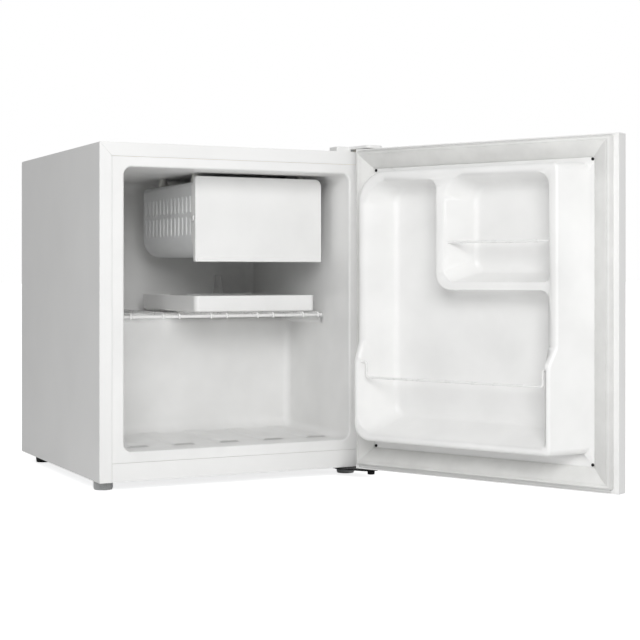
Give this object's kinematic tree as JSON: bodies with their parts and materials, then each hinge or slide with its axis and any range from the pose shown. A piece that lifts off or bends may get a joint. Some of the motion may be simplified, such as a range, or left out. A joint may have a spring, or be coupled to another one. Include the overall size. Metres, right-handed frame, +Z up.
{
  "type": "mini fridge",
  "caption": "White cube refrigerator, door standing open, with a front-flapped cooling box, wire shelf, drip tray, moulded door racks and a rear condenser.",
  "frame": {"origin": "on the floor, under the middle of the whole object's footprint with the door open", "axes": "+Z up, +X to the right seen from the front, +Y from the front to the back of the cabinet"},
  "size_m": [0.6138, 0.8468, 0.5125],
  "materials": {
    "painted_steel": "satin",
    "zinc_steel": "satin",
    "dark_steel": "satin",
    "coated_wire": "gloss",
    "white_liner": "satin",
    "white_plastic": "satin",
    "foam": "matte",
    "evaporator_sheet": "satin",
    "gasket_pvc": "matte",
    "black_rubber": "matte",
    "black_plastic": "matte",
    "grey_plastic": "matte",
    "copper": "satin",
    "natural_acetal": "satin"
  },
  "bodies": {
    "cabinet": {"cabinet_shell": "painted_steel", "bottom_front_rail": "painted_steel", "base_plate": "zinc_steel", "back_panel": "zinc_steel", "compartment_wall": "zinc_steel", "inner_liner": "white_liner", "cabinet_foam": "foam", "evaporator": "evaporator_sheet", "evaporator_back": "white_plastic", "freezer_frame": "white_plastic", "evaporator_hangers": "natural_acetal", "evaporator_screws": "zinc_steel", "compressor_plate": "zinc_steel", "compressor": "dark_steel", "compressor_grommets": "black_rubber", "compressor_bolts": "zinc_steel", "relay_cover": "black_plastic", "discharge_tube": "copper", "suction_tube": "copper", "dryer_filter": "copper", "capillary_tube": "copper", "condenser_tube": "dark_steel", "condenser_wires": "dark_steel", "condenser_clips": "black_plastic", "panel_screws": "zinc_steel", "condensate_pan": "grey_plastic", "thermostat_housing": "white_plastic", "mains_gland": "black_plastic", "foot_nuts": "zinc_steel", "rear_feet": "black_plastic", "top_hinge_bracket": "zinc_steel", "top_hinge_cover": "white_plastic", "top_hinge_screws": "zinc_steel", "bottom_hinge_bracket": "dark_steel", "bottom_hinge_screws": "dark_steel", "hinge_pin_bolt": "dark_steel"},
    "door": {"door_skin": "painted_steel", "door_top_cap": "white_plastic", "door_bottom_cap": "white_plastic", "hinge_bushes": "natural_acetal", "door_liner": "white_liner", "door_foam": "foam", "door_gasket": "gasket_pvc", "gasket_screws": "dark_steel", "upper_rack_rod": "coated_wire"},
    "freezer_flap": {"freezer_door": "white_plastic"},
    "shelf": {"wire_shelf": "coated_wire"},
    "tray": {"drip_tray": "white_plastic"},
    "knob": {"thermostat_knob": "white_plastic"},
    "left_foot": {"front_left_foot": "grey_plastic"},
    "right_foot": {"front_right_foot": "grey_plastic"},
    "lower_rail": {"lower_rack_rail": "coated_wire"}
  },
  "joints": [
    {"name": "door_hinge", "type": "hinge", "parent": "cabinet", "child": "door", "pos_m": [0.11731, -0.03277, 0.26], "axis": [0, 0, 1], "range_deg": [-115.8, 14.2]},
    {"name": "freezer_door_hinge", "type": "hinge", "parent": "cabinet", "child": "freezer_flap", "pos_m": [0.07431, 0.06974, 0.4], "axis": [0, 0, 1], "range_deg": [0, 78]},
    {"name": "shelf_slide", "type": "slide", "parent": "cabinet", "child": "shelf", "axis": [0, -1, 0], "range_m": [0, 0.12]},
    {"name": "drip_tray_slide", "type": "slide", "parent": "shelf", "child": "tray", "axis": [0, -1, 0], "range_m": [0, 0.1]},
    {"name": "thermostat_turn", "type": "hinge", "parent": "cabinet", "child": "knob", "pos_m": [0.04431, 0.41324, 0.247], "axis": [0, 1, 0], "range_deg": [-135, 135]},
    {"name": "front_left_foot_turn", "type": "hinge", "parent": "cabinet", "child": "left_foot", "pos_m": [-0.28769, 0.04324, 0.008], "axis": [0, 0, 1], "range_deg": [0, 720]},
    {"name": "front_right_foot_turn", "type": "hinge", "parent": "cabinet", "child": "right_foot", "pos_m": [0.11231, 0.04324, 0.008], "axis": [0, 0, 1], "range_deg": [0, 720]},
    {"name": "lower_rail_swing", "type": "hinge", "parent": "door", "child": "lower_rail", "pos_m": [0.06552, -0.09335, 0.1845], "axis": [-0.4352, 0.9003, 0], "range_deg": [0, 90]}
  ]
}
